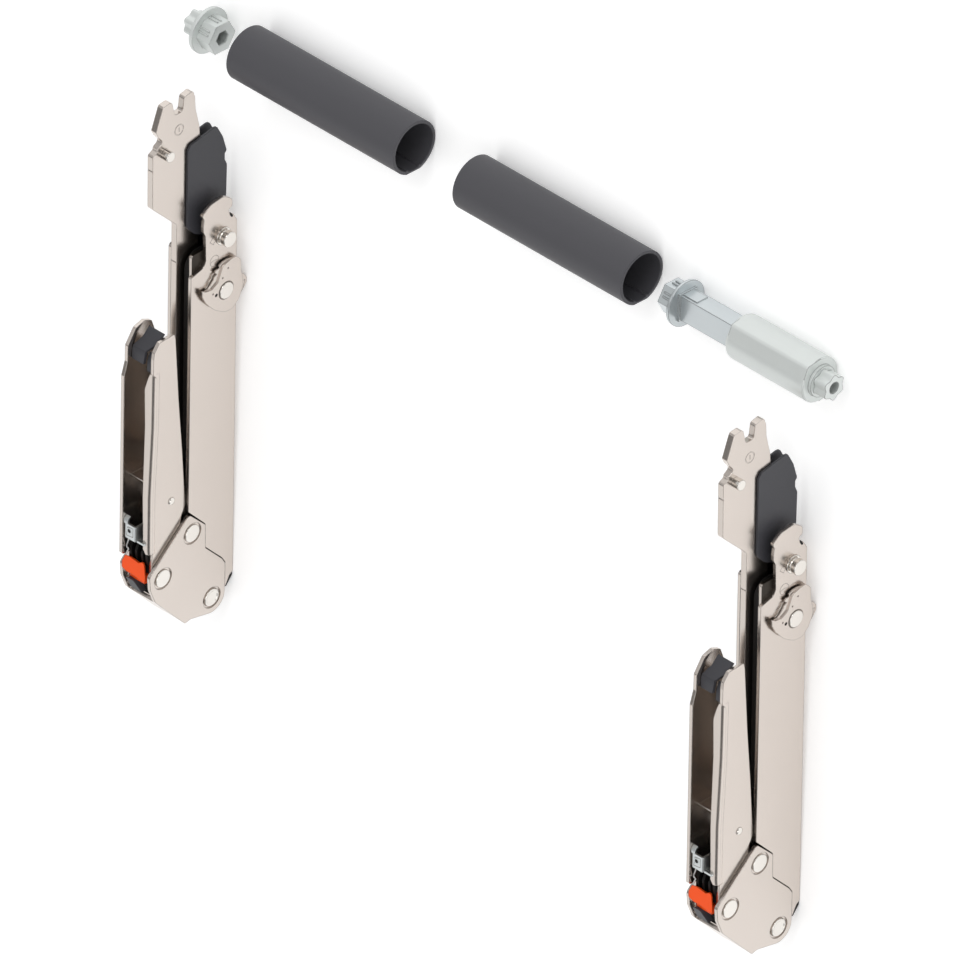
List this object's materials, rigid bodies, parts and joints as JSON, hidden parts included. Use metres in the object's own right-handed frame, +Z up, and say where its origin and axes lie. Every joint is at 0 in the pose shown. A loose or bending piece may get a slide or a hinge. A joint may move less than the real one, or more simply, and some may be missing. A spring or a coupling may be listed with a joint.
{
  "type": "lift-up cabinet door arm kit",
  "caption": "Folding lever arms for a lift-up cabinet door with hinged door brackets, lock cams and a telescopic cross rod that joins them.",
  "frame": {"origin": "middle of the kit's footprint, on the table that it lies on", "axes": "+X along the cross rod from the plug to the coupler, +Y up the arms from the drive pivots to the link's hooks, +Z up from the table"},
  "size_m": [0.3092, 0.2434, 0.0457],
  "materials": {
    "plated_sheet": "satin nickel plating with faint brushing",
    "plated_pin": "bright turned nickel plating",
    "spring_sheet": "rolled spring sheet",
    "spring_wire": "drawn wire",
    "zinc_plate": "zinc plated pressing",
    "die_cast": "bead blasted die casting",
    "die_cast_shaft": "smooth die casting",
    "rod_skin": "dark satin powder coat",
    "black_runner": "moulded, fine grain",
    "dark_guide": "moulded, fine grain",
    "orange_tab": "moulded, soft gloss"
  },
  "bodies": {
    "frame": {"end_plug": "die_cast", "rod_left": "rod_skin", "rod_right": "rod_skin", "coupler_shaft": "die_cast_shaft", "coupler_spring": "spring_wire", "left_arm_shell": "plated_sheet", "left_arm_frame": "plated_sheet", "left_glide_liner": "black_runner", "left_guide_cheeks": "dark_guide", "left_end_bumper": "black_runner", "left_drive_rivet": "plated_pin", "left_hook_pin": "plated_pin", "left_cam_pin": "plated_pin", "left_cam_washer": "spring_sheet", "right_arm_shell": "plated_sheet", "right_arm_frame": "plated_sheet", "right_glide_liner": "black_runner", "right_guide_cheeks": "dark_guide", "right_end_bumper": "black_runner", "right_drive_rivet": "plated_pin", "right_hook_pin": "plated_pin", "right_cam_pin": "plated_pin", "right_cam_washer": "spring_sheet"},
    "left_head": {"left_joint_head": "plated_sheet", "left_link_rivet": "plated_pin", "left_lever_pin": "plated_pin", "left_door_bracket": "plated_sheet", "left_wall_rivets": "plated_pin", "left_snap_clip": "dark_guide", "left_catch_plate": "zinc_plate", "left_catch_housing": "black_runner", "left_latch_jaw": "dark_guide", "left_lever_spring": "spring_wire"},
    "left_link": {"left_control_link": "plated_sheet", "left_link_stud": "plated_pin"},
    "left_lever": {"left_release_lever": "orange_tab"},
    "left_cam": {"left_lock_cam": "plated_sheet"},
    "right_head": {"right_joint_head": "plated_sheet", "right_link_rivet": "plated_pin", "right_lever_pin": "plated_pin", "right_door_bracket": "plated_sheet", "right_wall_rivets": "plated_pin", "right_snap_clip": "dark_guide", "right_catch_plate": "zinc_plate", "right_catch_housing": "black_runner", "right_latch_jaw": "dark_guide", "right_lever_spring": "spring_wire"},
    "right_link": {"right_control_link": "plated_sheet", "right_link_stud": "plated_pin"},
    "right_lever": {"right_release_lever": "orange_tab"},
    "right_cam": {"right_lock_cam": "plated_sheet"},
    "sleeve": {"coupler_sleeve": "die_cast"}
  },
  "joints": [
    {"name": "left_head_hinge", "type": "hinge", "parent": "frame", "child": "left_head", "pos_m": [-0.1405, -0.1154, 0.01019], "axis": [1, 0, 0], "range_deg": [0, 105]},
    {"name": "left_link_hinge", "type": "hinge", "parent": "left_head", "child": "left_link", "pos_m": [-0.1405, -0.08424, 0.02104], "axis": [1, 0, 0], "range_deg": [-105, 0]},
    {"name": "left_lever_hinge", "type": "hinge", "parent": "left_head", "child": "left_lever", "pos_m": [-0.1405, -0.0969, 0.03472], "axis": [1, 0, 0], "range_deg": [0, 16], "stiffness_Nm_per_rad": 0.03, "springref_deg": -8.59},
    {"name": "left_cam_hinge", "type": "hinge", "parent": "frame", "child": "left_cam", "pos_m": [-0.1323, 0.01244, 0.01114], "axis": [1, 0, 0], "range_deg": [0, 60]},
    {"name": "right_head_hinge", "type": "hinge", "parent": "frame", "child": "right_head", "pos_m": [0.135, -0.1154, 0.01019], "axis": [1, 0, 0], "range_deg": [0, 105]},
    {"name": "right_link_hinge", "type": "hinge", "parent": "right_head", "child": "right_link", "pos_m": [0.135, -0.08424, 0.02104], "axis": [1, 0, 0], "range_deg": [-105, 0]},
    {"name": "right_lever_hinge", "type": "hinge", "parent": "right_head", "child": "right_lever", "pos_m": [0.135, -0.0969, 0.03472], "axis": [1, 0, 0], "range_deg": [0, 16], "stiffness_Nm_per_rad": 0.03, "springref_deg": -8.59},
    {"name": "right_cam_hinge", "type": "hinge", "parent": "frame", "child": "right_cam", "pos_m": [0.1432, 0.01244, 0.01114], "axis": [1, 0, 0], "range_deg": [0, 60]},
    {"name": "sleeve_slide", "type": "slide", "parent": "frame", "child": "sleeve", "axis": [-1, 0, 0], "range_m": [0, 0.018], "stiffness_N_per_m": 200, "springref_m": -0.01, "deforming": ["coupler_spring"]}
  ],
  "couplings": [
    {"joint": "left_link_hinge", "follows": "left_head_hinge", "ratio": -1},
    {"joint": "right_link_hinge", "follows": "right_head_hinge", "ratio": -1}
  ]
}
